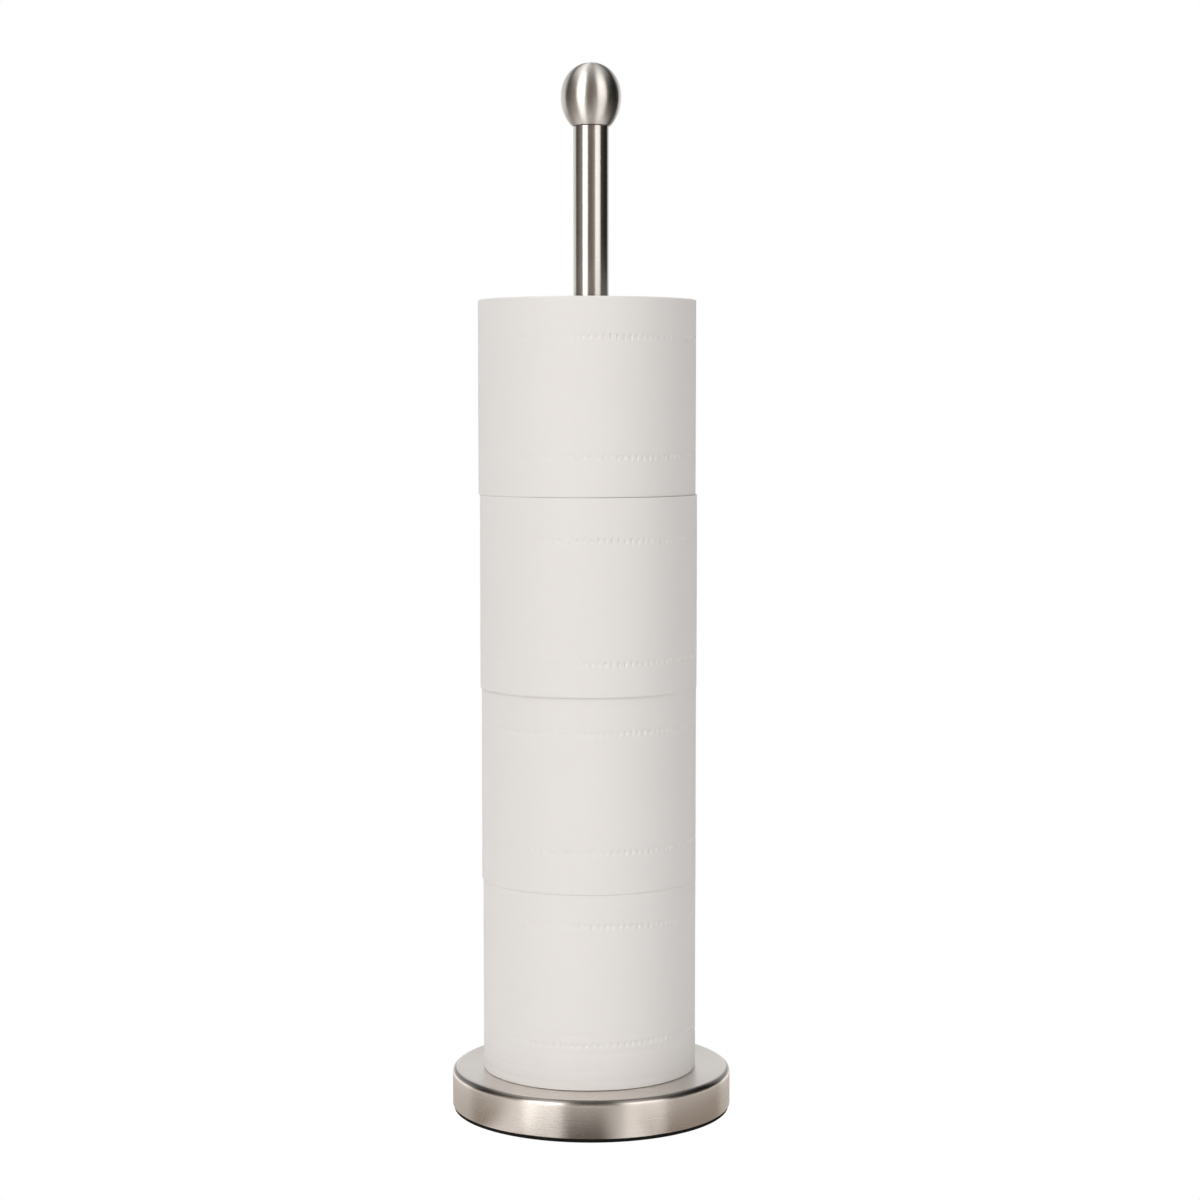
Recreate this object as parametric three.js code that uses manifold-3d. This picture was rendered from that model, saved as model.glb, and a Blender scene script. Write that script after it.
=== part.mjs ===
// A free-standing stand for spare toilet rolls: a round weighted base, one upright pole with an
// egg-shaped knob on top, and four rolls of tissue stacked on the pole.
// Millimetres, +Z up. The origin is on the floor, on the axis of the base and the pole.
import * as THREE from "three";
import { mergeVertices } from "three/addons/utils/BufferGeometryUtils.js";
import Module from "manifold-3d";

// --- driving dimensions ---

const GAP = 0.3; // clearance left between pieces that touch
const BASE_DIAMETER = 150;
const BASE_TOP = 22.3; // height of the plate that the rolls stand on
const SHEET = 1.0; // thickness of the base cover's steel
const EDGE_RADIUS = 3.2; // rounding between the base's top and its skirt
const SKIRT_BOTTOM = 2.0;
const PAD_THICKNESS = 1.7;
const PAD_DIAMETER = 148.6;
const ACCESS_RADIUS = 14; // hole in the pad and the tray that lets a spanner reach the bolt
const TRAY_WALL = 1.8;
const TRAY_RIBS = 6;
const BALLAST_THICKNESS = 9;
const BALLAST_CHAMFER = 1;

const POLE_DIAMETER = 19;
const POLE_WALL = 1.0;
const POLE_SPLIT = 273; // height where the lower tube ends and the upper one begins
const PLUG_LENGTH = 22; // threaded plugs pressed into the ends of the tubes
const THREAD_SPARE = 5; // how far a stud or bolt stops short of the far end of its plug

const KNOB_RADIUS = 16;
const KNOB_RISE = 18.2; // from the knob's widest level up to its top
const KNOB_DROP = 19.3; // the same ellipse half below, before the neck cuts it off
const KNOB_NECK_RADIUS = 10.2;
const KNOB_NECK_BORE = 9.2;
const KNOB_WALL = 0.8;
const BOSS_RADIUS = 6;
const BOSS_FLANGE = 5; // height of the boss's wide foot
const BOSS_HEIGHT = 18;
const TOTAL_HEIGHT = 559;

const M8_RADIUS = 3.9;
const M8_HOLE = 4.2;
const M8_CLEARANCE = 4.5;
const M8_FLATS = 13;
const M8_HEAD = 5.3;
const M6_RADIUS = 2.9;
const M6_HOLE = 3.2;
const THREAD_CHAMFER = 1.0; // at the tip of a bolt or stud
const WASHER_RADIUS = 12;
const WASHER_THICKNESS = 1.8;
const LOCK_RADIUS = 7.2;
const LOCK_THICKNESS = 2.0;
const LOCK_SLOT = 12; // degrees of the spring washer's gap

const ROLL_PITCH = 103; // the width of a sheet, and so the height of each roll
const ROLL_EDGE = 1.0; // softened edge of the wound tissue
const CORE_BORE_RADIUS = 21;
const CORE_WALL = 0.8;
// From the top of the stack to the bottom. Each roll sits a little off the pole's axis.
const ROLLS = [
  { name: "roll_1", diameter: 116.4, offset: [-2.1, 0.8] },
  { name: "roll_2", diameter: 116.1, offset: [-1.4, -0.4] },
  { name: "roll_3", diameter: 115.7, offset: [-1.2, 0.5] },
  { name: "roll_4", diameter: 114.9, offset: [-1.0, 0.0] },
];

// --- worked out from those ---

const BASE_RADIUS = BASE_DIAMETER / 2;
const SKIRT_INSIDE = BASE_RADIUS - SHEET;
const COVER_UNDERSIDE = BASE_TOP - SHEET;
const BALLAST_TOP = COVER_UNDERSIDE - GAP;
const BALLAST_BOTTOM = BALLAST_TOP - BALLAST_THICKNESS;
const TRAY_TOP = BALLAST_BOTTOM - GAP;
const TRAY_FLOOR = SKIRT_BOTTOM + 1.6;
const WASHER_BOTTOM = BALLAST_BOTTOM - GAP - WASHER_THICKNESS;
const LOCK_BOTTOM = WASHER_BOTTOM - GAP - LOCK_THICKNESS;
const HEAD_TOP = LOCK_BOTTOM - GAP;
const POLE_RADIUS = POLE_DIAMETER / 2;
const PLUG_RADIUS = POLE_RADIUS - POLE_WALL - GAP;
const POLE_BOTTOM = BASE_TOP + GAP;
const KNOB_LEVEL = TOTAL_HEIGHT - KNOB_RISE;
const KNOB_BOTTOM = KNOB_LEVEL - KNOB_DROP * Math.sqrt(1 - (KNOB_NECK_RADIUS / KNOB_RADIUS) ** 2);
const POLE_TOP = KNOB_BOTTOM - GAP;

const LARGE = 60; // sides used to approximate a large circle
const MIDDLE = 48;
const SMALL = 24;

// --- materials ---

const STEEL = new THREE.MeshStandardMaterial({ color: 0xcac5be, metalness: 1, roughness: 0.32 });
const POLISHED = new THREE.MeshStandardMaterial({ color: 0xd8d5d0, metalness: 1, roughness: 0.14 });
const ZINC = new THREE.MeshStandardMaterial({ color: 0xb9bcbf, metalness: 1, roughness: 0.4 });
const IRON = new THREE.MeshStandardMaterial({ color: 0x3a3a3b, metalness: 0.6, roughness: 0.7 });
const PLASTIC = new THREE.MeshStandardMaterial({ color: 0x17171a, metalness: 0, roughness: 0.55 });
const RUBBER = new THREE.MeshStandardMaterial({ color: 0x0e0e0f, metalness: 0, roughness: 0.9 });
const TISSUE = new THREE.MeshStandardMaterial({ color: 0xf1efeb, metalness: 0, roughness: 0.9 });
const CARDBOARD = new THREE.MeshStandardMaterial({ color: 0xb79a72, metalness: 0, roughness: 0.9 });

// --- geometry helpers ---

// Points of an ellipse's arc around (r, z), angles in degrees from +r towards +z.
function arc(r, z, across, along, from, to, steps) {
  return Array.from({ length: steps + 1 }, (_, i) => {
    const angle = THREE.MathUtils.degToRad(from + ((to - from) * i) / steps);
    return [r + across * Math.cos(angle), z + along * Math.sin(angle)];
  });
}

// A turned solid about the Z axis. The profile is a list of [radius, height] that either starts
// and ends on the axis or is closed here, and it goes up the outside and down the inside.
function turned(profile, sides) {
  const points = profile.map(([r, z]) => new THREE.Vector2(r, z));
  if (profile[0][0] > 0) points.push(points[0].clone());
  return new THREE.LatheGeometry(points, sides).rotateX(Math.PI / 2);
}

// A ring or a sleeve with square edges, or with its outer edges chamfered.
function ring(inner, outer, bottom, top, sides, chamfer = 0) {
  if (!chamfer) return turned([[outer, bottom], [outer, top], [inner, top], [inner, bottom]], sides);
  return turned(
    [
      [outer - chamfer, bottom],
      [outer, bottom + chamfer],
      [outer, top - chamfer],
      [outer - chamfer, top],
      [inner, top],
      [inner, bottom],
    ],
    sides,
  );
}

const wasm = await Module();
wasm.setup();

function toSolid(geometry) {
  const bare = geometry.clone();
  bare.deleteAttribute("normal");
  bare.deleteAttribute("uv");
  const merged = mergeVertices(bare, 1e-4);
  return new wasm.Manifold(
    new wasm.Mesh({
      numProp: 3,
      vertProperties: merged.attributes.position.array,
      triVerts: new Uint32Array(merged.index.array),
    }),
  );
}

function toGeometry(solid) {
  const mesh = solid.getMesh();
  return new THREE.BufferGeometry()
    .setAttribute("position", new THREE.BufferAttribute(mesh.vertProperties, 3))
    .setIndex(new THREE.BufferAttribute(mesh.triVerts, 1));
}

function join(...geometries) {
  return toGeometry(geometries.map(toSolid).reduce((all, next) => all.add(next)));
}

const stand = new THREE.Group();

function piece(name, geometry, material, parent = stand) {
  const mesh = new THREE.Mesh(geometry, material);
  mesh.name = name;
  parent.add(mesh);
}

// --- base ---

// Drawn steel dish, upside down: flat plate, rounded edge and skirt, with a hole for the bolt.
function baseCover() {
  const corner = [BASE_RADIUS - EDGE_RADIUS, BASE_TOP - EDGE_RADIUS];
  const inner = EDGE_RADIUS - SHEET;
  return turned(
    [
      [BASE_RADIUS, SKIRT_BOTTOM],
      ...arc(...corner, EDGE_RADIUS, EDGE_RADIUS, 0, 90, 6),
      [M8_CLEARANCE, BASE_TOP],
      [M8_CLEARANCE, COVER_UNDERSIDE],
      ...arc(...corner, inner, inner, 90, 0, 4),
      [SKIRT_INSIDE, SKIRT_BOTTOM],
    ],
    LARGE,
  );
}

// Cast-iron disc that keeps the stand from tipping. Its upper edge clears the cover's bend.
function ballastDisc() {
  const outer = SKIRT_INSIDE - GAP;
  const bevel = EDGE_RADIUS - SHEET + GAP;
  return turned(
    [
      [outer - BALLAST_CHAMFER, BALLAST_BOTTOM],
      [outer, BALLAST_BOTTOM + BALLAST_CHAMFER],
      [outer, BALLAST_TOP - bevel],
      [outer - bevel, BALLAST_TOP],
      [M8_CLEARANCE, BALLAST_TOP],
      [M8_CLEARANCE, BALLAST_BOTTOM],
    ],
    LARGE,
  );
}

// Moulded tray that closes the base from below: a floor with a rim, a ring round the bolt and
// ribs between them, which carry the ballast.
function baseTray() {
  const outer = SKIRT_INSIDE - GAP;
  const ringOuter = ACCESS_RADIUS + TRAY_WALL;
  const pan = turned(
    [
      [outer, SKIRT_BOTTOM],
      [outer, TRAY_TOP],
      [outer - TRAY_WALL, TRAY_TOP],
      [outer - TRAY_WALL, TRAY_FLOOR],
      [ringOuter, TRAY_FLOOR],
      [ringOuter, TRAY_TOP],
      [ACCESS_RADIUS, TRAY_TOP],
      [ACCESS_RADIUS, SKIRT_BOTTOM],
    ],
    LARGE,
  );
  const from = ringOuter - TRAY_WALL / 2;
  const to = outer - TRAY_WALL / 2;
  const low = TRAY_FLOOR - 1; // the ribs are sunk into the floor
  const ribs = Array.from({ length: TRAY_RIBS }, (_, i) =>
    new THREE.BoxGeometry(to - from, TRAY_WALL, TRAY_TOP - low)
      .translate((from + to) / 2, 0, (low + TRAY_TOP) / 2)
      .rotateZ((2 * Math.PI * i) / TRAY_RIBS),
  );
  return join(pan, ...ribs);
}

// --- fasteners under the base ---

// A spring washer: a flat ring with a gap in it.
function lockWasher() {
  const half = THREE.MathUtils.degToRad(LOCK_SLOT / 2);
  const outline = new THREE.Shape();
  outline.absarc(0, 0, LOCK_RADIUS, half, 2 * Math.PI - half, false);
  outline.absarc(0, 0, M8_HOLE, 2 * Math.PI - half, half, true);
  outline.closePath();
  return new THREE.ExtrudeGeometry(outline, {
    depth: LOCK_THICKNESS,
    bevelEnabled: false,
    curveSegments: SMALL,
  }).translate(0, 0, LOCK_BOTTOM);
}

// Hexagon-head bolt that runs up through the base into the foot of the pole.
function baseBolt() {
  const across = M8_FLATS / 2 / Math.cos(Math.PI / 6);
  const head = new THREE.CylinderGeometry(across, across, M8_HEAD, 6)
    .rotateX(Math.PI / 2)
    .translate(0, 0, HEAD_TOP - M8_HEAD / 2);
  const root = HEAD_TOP - 1; // the shank is sunk into the head
  const tip = POLE_BOTTOM + PLUG_LENGTH - THREAD_SPARE;
  const shank = turned(
    [
      [0, root],
      [M8_RADIUS, root],
      [M8_RADIUS, tip - THREAD_CHAMFER],
      [M8_RADIUS - THREAD_CHAMFER, tip],
      [0, tip],
    ],
    SMALL,
  );
  return join(head, shank);
}

// --- pole ---

function tube(bottom, top) {
  return ring(POLE_RADIUS - POLE_WALL, POLE_RADIUS, bottom, top, MIDDLE);
}

// A threaded plug that fills the end of a tube.
function plug(hole, top) {
  return ring(hole, PLUG_RADIUS, top - PLUG_LENGTH, top, SMALL);
}

// Upper half's foot: a plug with a stud that screws into the lower half.
function jointStud() {
  const tip = POLE_SPLIT - PLUG_LENGTH + THREAD_SPARE;
  const plugBottom = POLE_SPLIT + GAP;
  return turned(
    [
      [0, tip],
      [M8_RADIUS - THREAD_CHAMFER, tip],
      [M8_RADIUS, tip + THREAD_CHAMFER],
      [M8_RADIUS, plugBottom],
      [PLUG_RADIUS, plugBottom],
      [PLUG_RADIUS, plugBottom + PLUG_LENGTH],
      [0, plugBottom + PLUG_LENGTH],
    ],
    SMALL,
  );
}

// --- knob ---

// Pressed hollow egg, open at the neck, where its wall is turned in to a narrower bore.
function knobShell() {
  const neck = THREE.MathUtils.radToDeg(-Math.acos(KNOB_NECK_RADIUS / KNOB_RADIUS));
  const egg = turned(
    [
      [0, KNOB_BOTTOM],
      ...arc(0, KNOB_LEVEL, KNOB_RADIUS, KNOB_DROP, neck, 0, 7),
      ...arc(0, KNOB_LEVEL, KNOB_RADIUS, KNOB_RISE, 0, 90, 9).slice(1, -1),
      [0, TOTAL_HEIGHT],
    ],
    MIDDLE,
  );
  const radius = KNOB_RADIUS - KNOB_WALL;
  const drop = KNOB_DROP - KNOB_WALL;
  const turnIn = KNOB_BOTTOM + 2 * KNOB_WALL;
  const lowest = THREE.MathUtils.radToDeg(Math.asin((turnIn - KNOB_LEVEL) / drop));
  const hollow = turned(
    [
      [0, KNOB_BOTTOM - 1],
      [KNOB_NECK_BORE, KNOB_BOTTOM - 1],
      [KNOB_NECK_BORE, turnIn],
      ...arc(0, KNOB_LEVEL, radius, drop, lowest, 0, 5),
      ...arc(0, KNOB_LEVEL, radius, KNOB_RISE - KNOB_WALL, 0, 90, 7).slice(1, -1),
      [0, TOTAL_HEIGHT - KNOB_WALL],
    ],
    MIDDLE,
  );
  return toGeometry(toSolid(egg).subtract(toSolid(hollow)));
}

// Turned boss inside the knob's neck, drilled for the stud.
function knobBoss() {
  const bottom = KNOB_BOTTOM + GAP;
  const flange = KNOB_NECK_BORE - 2 * GAP;
  const taper = flange - BOSS_RADIUS;
  return turned(
    [
      [flange, bottom],
      [flange, bottom + BOSS_FLANGE],
      [BOSS_RADIUS, bottom + BOSS_FLANGE + taper],
      [BOSS_RADIUS, bottom + BOSS_HEIGHT],
      [M6_HOLE, bottom + BOSS_HEIGHT],
      [M6_HOLE, bottom],
    ],
    SMALL,
  );
}

// Threaded rod that ties the knob to the top of the pole.
function knobStud() {
  const bottom = POLE_TOP - PLUG_LENGTH + THREAD_SPARE;
  const top = KNOB_BOTTOM + BOSS_HEIGHT - THREAD_SPARE;
  return turned(
    [
      [0, bottom],
      [M6_RADIUS - THREAD_CHAMFER, bottom],
      [M6_RADIUS, bottom + THREAD_CHAMFER],
      [M6_RADIUS, top - THREAD_CHAMFER],
      [M6_RADIUS - THREAD_CHAMFER, top],
      [0, top],
    ],
    SMALL,
  );
}

// --- rolls ---

// One roll: the wound tissue and the cardboard tube in its middle, standing at the given height.
function addRoll({ name, diameter, offset }, bottom) {
  const roll = new THREE.Group();
  roll.position.set(offset[0], offset[1], bottom);
  stand.add(roll);
  const height = ROLL_PITCH - GAP;
  const coreRadius = CORE_BORE_RADIUS + CORE_WALL;
  piece(
    name + "_paper",
    ring(coreRadius + GAP, diameter / 2, 0, height, LARGE, ROLL_EDGE),
    TISSUE,
    roll,
  );
  piece(name + "_core", ring(CORE_BORE_RADIUS, coreRadius, 0, height, MIDDLE), CARDBOARD, roll);
}

// --- assembly ---

piece("base_cover", baseCover(), STEEL);
piece("ballast_disc", ballastDisc(), IRON);
piece("base_tray", baseTray(), PLASTIC);
piece("base_pad", ring(ACCESS_RADIUS, PAD_DIAMETER / 2, 0, PAD_THICKNESS, LARGE), RUBBER);
piece("base_bolt", baseBolt(), ZINC);
piece("base_lock_washer", lockWasher(), ZINC);
piece(
  "base_washer",
  ring(M8_HOLE, WASHER_RADIUS, WASHER_BOTTOM, WASHER_BOTTOM + WASHER_THICKNESS, SMALL),
  ZINC,
);

piece("pole_foot_plug", plug(M8_HOLE, POLE_BOTTOM + PLUG_LENGTH), ZINC);
piece("pole_lower_tube", tube(POLE_BOTTOM, POLE_SPLIT), POLISHED);
piece("pole_joint_socket", plug(M8_HOLE, POLE_SPLIT - GAP), ZINC);
piece("pole_joint_stud", jointStud(), ZINC);
piece("pole_upper_tube", tube(POLE_SPLIT + GAP, POLE_TOP), POLISHED);
piece("pole_top_plug", plug(M6_HOLE, POLE_TOP), ZINC);

piece("knob_shell", knobShell(), POLISHED);
piece("knob_boss", knobBoss(), ZINC);
piece("knob_stud", knobStud(), ZINC);

ROLLS.forEach((roll, index) => {
  const below = ROLLS.length - 1 - index;
  addRoll(roll, BASE_TOP + GAP + below * ROLL_PITCH);
});

export default stand;
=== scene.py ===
"""Looks of a free-standing stand for spare toilet rolls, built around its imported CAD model.

Metres, +Z up. The origin is under the base, on the axis of the base and the pole, and -Y is the
front.
"""

import math
import random

import bpy
import numpy as np
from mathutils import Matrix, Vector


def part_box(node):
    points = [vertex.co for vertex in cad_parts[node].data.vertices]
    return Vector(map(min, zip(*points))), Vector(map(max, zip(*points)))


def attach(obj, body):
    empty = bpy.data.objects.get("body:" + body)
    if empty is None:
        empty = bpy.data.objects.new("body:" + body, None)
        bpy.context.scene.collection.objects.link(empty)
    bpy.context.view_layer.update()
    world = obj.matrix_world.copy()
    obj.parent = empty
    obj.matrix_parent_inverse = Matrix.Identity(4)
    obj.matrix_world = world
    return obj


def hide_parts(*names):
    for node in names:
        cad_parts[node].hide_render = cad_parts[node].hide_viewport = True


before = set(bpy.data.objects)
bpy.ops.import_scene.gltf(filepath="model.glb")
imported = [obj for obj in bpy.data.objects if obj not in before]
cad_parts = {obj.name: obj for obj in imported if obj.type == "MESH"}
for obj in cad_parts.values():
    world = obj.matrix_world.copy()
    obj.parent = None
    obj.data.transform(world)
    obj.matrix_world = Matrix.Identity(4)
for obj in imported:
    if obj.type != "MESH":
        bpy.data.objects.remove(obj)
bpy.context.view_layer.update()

MM = 0.001
TURN = 2 * math.pi

# --- sizes read from the frame ---


def radius_of(node):
    low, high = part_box(node)
    return (high.x - low.x) / 2


def heights_of(node):
    low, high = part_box(node)
    return low.z, high.z


BASE_RADIUS = radius_of("base_cover")
BASE_TOP = heights_of("base_cover")[1]
POLE_RADIUS = radius_of("pole_upper_tube")
ROLL_COUNT = 4
ROLL_PITCH = heights_of("roll_1_paper")[0] - heights_of("roll_2_paper")[0]

# --- sizes that repeat the CAD's inner shapes, which a node's box can't give ---

SHEET = 1.0 * MM
EDGE_RADIUS = 3.2 * MM  # rounding between the base's plate and its skirt
BOLT_HOLE = 4.5 * MM
ACCESS_RADIUS = 14 * MM  # hole in the pad, under the bolt
POLE_WALL = 1.0 * MM
KNOB_RISE = 18.2 * MM
KNOB_DROP = 19.3 * MM
KNOB_NECK = 10.2 * MM
KNOB_BORE = 9.2 * MM
KNOB_WALL = 0.8 * MM
HEAD_HEIGHT = 5.3 * MM
HEAD_FLATS = 13 * MM
WASHER_HOLE = 4.2 * MM
M8_RADIUS = 3.9 * MM
M8_PITCH = 1.25 * MM
M8_POINT = 1.2 * MM  # how much smaller the rod's end face is in radius
M6_RADIUS = 2.9 * MM
M6_PITCH = 1.0 * MM
M6_POINT = 0.9 * MM
END_RADIUS = 1 * MM  # of the small fan that closes an end face
PLUG_LENGTH = 22 * MM

# --- mesh helpers ---

FINE = 256  # columns round a large turned piece
SMALL = 96  # and round a small one
SHARP_ANGLE = math.radians(38)  # a bend above this is shaded as an edge
SUPPORT_REACH = 0.3  # from a rounding to its support point, as a share of the rounding


def soft_profile(corners, steps=6):
    """Points along a polyline whose corners, each (radius, height, rounding), are rounded."""
    points = []
    for i, (r, z, rounding) in enumerate(corners):
        here = np.array([r, z])
        if not rounding:
            points.append(here)
            continue
        before = np.array(corners[i - 1][:2]) - here
        after = np.array(corners[(i + 1) % len(corners)][:2]) - here
        before /= np.linalg.norm(before)
        after /= np.linalg.norm(after)
        half = math.acos(np.clip(before @ after, -1, 1)) / 2
        reach = rounding / math.tan(half)
        middle = before + after
        centre = here + middle / np.linalg.norm(middle) * rounding / math.sin(half)
        first = here + before * reach - centre
        last = here + after * reach - centre
        # A point just outside the arc keeps the flat next to it flat.
        support = SUPPORT_REACH * rounding
        points.append(centre + first + before * support)
        sweep = math.pi - 2 * half
        for k in range(steps + 1):
            t = k / steps
            a = math.sin((1 - t) * sweep) / math.sin(sweep)
            b = math.sin(t * sweep) / math.sin(sweep)
            points.append(centre + a * first + b * last)
        points.append(centre + last + after * support)
    return np.array(points)


def ellipse(height, across, along, start, end, steps, fullness=2.0):
    """Points of an ellipse's arc around (0, height), in degrees from the radius towards +Z.
    With a fullness above 2, its shoulders are fuller."""
    angles = np.radians(np.linspace(start, end, steps + 1))
    out = np.abs(np.cos(angles)) ** (2 / fullness)
    up = np.sign(angles) * np.abs(np.sin(angles)) ** (2 / fullness)
    return np.stack([across * out, height + along * up], 1)


def column_angles(columns):
    return np.arange(columns) * TURN / columns


def place_round(radius, angles, height, centre=(0.0, 0.0)):
    """Points at a radius, an angle and a height round a vertical axis."""
    return np.stack([centre[0] + radius * np.cos(angles), centre[1] + radius * np.sin(angles),
                     height], -1)


def spin(profile, columns):
    """The profile's points turned round Z, as an array of rows, columns and xyz."""
    height = np.broadcast_to(profile[:, 1:], (len(profile), columns))
    return place_round(profile[:, :1], column_angles(columns), height)


def grid_quads(lower, upper):
    """Four-sided faces between two stacks of rows of vertex numbers, closed round the axis."""
    quads = np.stack([lower, np.roll(lower, -1, 1), np.roll(upper, -1, 1), upper], -1)
    return quads.reshape(-1, 4).tolist()


def grid_mesh(name, points, closed):
    """A closed mesh from rows that each go once round, up the outside and down the inside. The
    last row joins the first if closed, and otherwise a fan closes each end."""
    rows, columns, _ = points.shape
    index = np.arange(rows * columns).reshape(rows, columns)
    vertices = points.reshape(-1, 3)
    if closed:
        faces = grid_quads(index, np.roll(index, -1, 0))
    else:
        faces = grid_quads(index[:-1], index[1:])
        ends = np.array([points[0].mean(0), points[-1].mean(0)])
        bottom = len(vertices)
        vertices = np.concatenate([vertices, ends])
        for a, b in zip(index[0].tolist(), np.roll(index[0], -1).tolist()):
            faces.append((bottom, b, a))
        for a, b in zip(index[-1].tolist(), np.roll(index[-1], -1).tolist()):
            faces.append((bottom + 1, a, b))
    mesh = bpy.data.meshes.new(name)
    mesh.from_pydata(vertices.tolist(), [], faces)
    mesh.shade_smooth()
    mesh.set_sharp_from_angle(angle=SHARP_ANGLE)
    return mesh


def add_object(name, data):
    made = bpy.data.objects.new(name, data)
    bpy.context.scene.collection.objects.link(made)
    return made


def add_piece(name, mesh, body, nodes, material):
    """Puts a mesh into the scene as a piece that rides on a CAD body in place of its CAD nodes."""
    piece = add_object(name, mesh)
    mesh.materials.append(material)
    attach(piece, body)
    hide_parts(*nodes)


def add_turned(name, profile, columns, closed, node, material):
    """A turned piece of the stand, from its profile."""
    mesh = grid_mesh(name, spin(profile, columns), closed)
    add_piece(name, mesh, "stand", [node], material)


# --- material helpers ---


class Tree:
    """Short ways to add nodes. A value is a number, a tuple or another node's output."""

    def __init__(self, tree):
        self.tree = tree
        tree.nodes.clear()

    def add(self, kind, inputs=None, **settings):
        node = self.tree.nodes.new("ShaderNode" + kind)
        for key, value in settings.items():
            setattr(node, key, value)
        for key, value in (inputs or {}).items():
            if isinstance(value, bpy.types.NodeSocket):
                self.tree.links.new(value, node.inputs[key])
            else:
                node.inputs[key].default_value = value
        return node

    def math(self, operation, a, b=0.0):
        return self.add("Math", {0: a, 1: b}, operation=operation).outputs[0]

    def plus(self, a, b):
        return self.math("ADD", a, b)

    def minus(self, a, b):
        return self.math("SUBTRACT", a, b)

    def times(self, a, b):
        return self.math("MULTIPLY", a, b)

    def place(self):
        """The object's own coordinates, which are the row frame's at rest."""
        return self.add("TexCoord").outputs["Object"]

    def scaled(self, vector, factors):
        inputs = {0: vector, 1: factors}
        return self.add("VectorMath", inputs, operation="MULTIPLY").outputs[0]

    def noise(self, vector, scale=1.0, detail=2.0, roughness=0.5):
        inputs = {"Vector": vector, "Scale": scale, "Detail": detail, "Roughness": roughness}
        return self.add("TexNoise", inputs).outputs["Fac"]

    def remap(self, value, low, high, to_low=0.0, to_high=1.0):
        """A smooth step from to_low, where the value is low, to to_high, where it is high."""
        inputs = {0: value, 1: low, 2: high, 3: to_low, 4: to_high}
        return self.add("MapRange", inputs, interpolation_type="SMOOTHSTEP").outputs[0]

    def window(self, value, low, rise, fall, high):
        """1 between rise and fall, and 0 below low and above high."""
        rising = self.remap(value, low, rise)
        return self.times(rising, self.remap(value, fall, high, 1.0, 0.0))

    def blend(self, factor, a, b):
        """Colour a where the factor is 0, and b where it is 1."""
        return self.add("MixRGB", {"Fac": factor, "Color1": a, "Color2": b}).outputs[0]

    def combine(self, x, y, z):
        return self.add("CombineXYZ", {0: x, 1: y, 2: z}).outputs[0]

    def around(self, centre=(0.0, 0.0, 0.0)):
        """The place on the surface, and what it is from a vertical axis: direction x, direction y,
        radius and height."""
        place = self.place()
        moved = self.add("VectorMath", {0: place, 1: centre}, operation="SUBTRACT").outputs[0]
        split = self.add("SeparateXYZ", {0: moved})
        flat = self.combine(split.outputs[0], split.outputs[1], 0.0)
        radius = self.add("VectorMath", {0: flat}, operation="LENGTH").outputs["Value"]
        safe = self.math("MAXIMUM", radius, 1e-5)
        x = self.math("DIVIDE", split.outputs[0], safe)
        y = self.math("DIVIDE", split.outputs[1], safe)
        return place, x, y, radius, split.outputs[2]


def surface(name, **sockets):
    """A new material with one Principled shader, and the tree to add its nodes to."""
    material = bpy.data.materials.new(name)
    material.use_nodes = True
    tree = Tree(material.node_tree)
    shader = tree.add("BsdfPrincipled")
    for key, value in sockets.items():
        shader.inputs[key.replace("_", " ")].default_value = value
    tree.add("OutputMaterial", {"Surface": shader.outputs[0]})
    return material, tree, shader


def drive(tree, shader, **sockets):
    """Links outputs to the shader's sockets."""
    for key, value in sockets.items():
        tree.tree.links.new(value, shader.inputs[key.replace("_", " ")])


def bump(tree, shader, height, distance):
    inputs = {"Height": height, "Distance": distance}
    drive(tree, shader, Normal=tree.add("Bump", inputs).outputs[0])


# --- materials ---

# Each steel: the colour of its light and dark brush lines, its roughness, how far that differs
# along and across the lines, how often broad and fine lines break off round the axis, and how
# strongly a dark line of painted shade is laid on the base's bend.
STEELS = {
    "brushed_cover": {"light": (0.785, 0.742, 0.703, 1), "dark": (0.735, 0.692, 0.652, 1),
                      "roughness": 0.27, "anisotropy": 0.68, "breaks": (1.3, 3.0), "painted_bend_shade": 0.85},
    "brushed_pole": {"light": (0.72, 0.695, 0.665, 1), "dark": (0.65, 0.625, 0.595, 1),
                     "roughness": 0.29, "anisotropy": 0.98, "breaks": (1.0, 2.5)},
    "brushed_knob": {"light": (0.74, 0.71, 0.68, 1), "dark": (0.66, 0.63, 0.60, 1),
                     "roughness": 0.34, "anisotropy": 0.90, "breaks": (1.3, 4.0)},
}
BROAD_LINES = 900.0  # per metre along the turned outline
FINE_LINES = 3600.0
BROAD_SHARE = 0.45
# Colour of the painted shade on the base's bend.
PAINTED_BEND_SHADE_TONE = (0.12, 0.105, 0.095, 1)

ZINC_BLUE = (0.56, 0.58, 0.62, 1)
ZINC_YELLOW = (0.63, 0.60, 0.50, 1)
ZINC_SHADE = (0.45, 0.46, 0.48, 1)
IRON_DARK = (0.035, 0.034, 0.034, 1)
IRON_LIGHT = (0.09, 0.088, 0.085, 1)
IRON_RUST = (0.16, 0.07, 0.03, 1)
PLASTIC_DARK = (0.010, 0.010, 0.012, 1)
PLASTIC_LIGHT = (0.022, 0.022, 0.024, 1)
FOAM_DARK = (0.006, 0.006, 0.0065, 1)
FOAM_WORN = (0.017, 0.0165, 0.016, 1)
LINT = (0.22, 0.21, 0.19, 1)
TISSUE_LIGHT = (0.882, 0.870, 0.870, 1)
TISSUE_DARK = (0.842, 0.828, 0.826, 1)
# Painted shade in the slits of the tear lines.
PAINTED_SLIT_SHADE = (0.42, 0.40, 0.37, 1)
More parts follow.
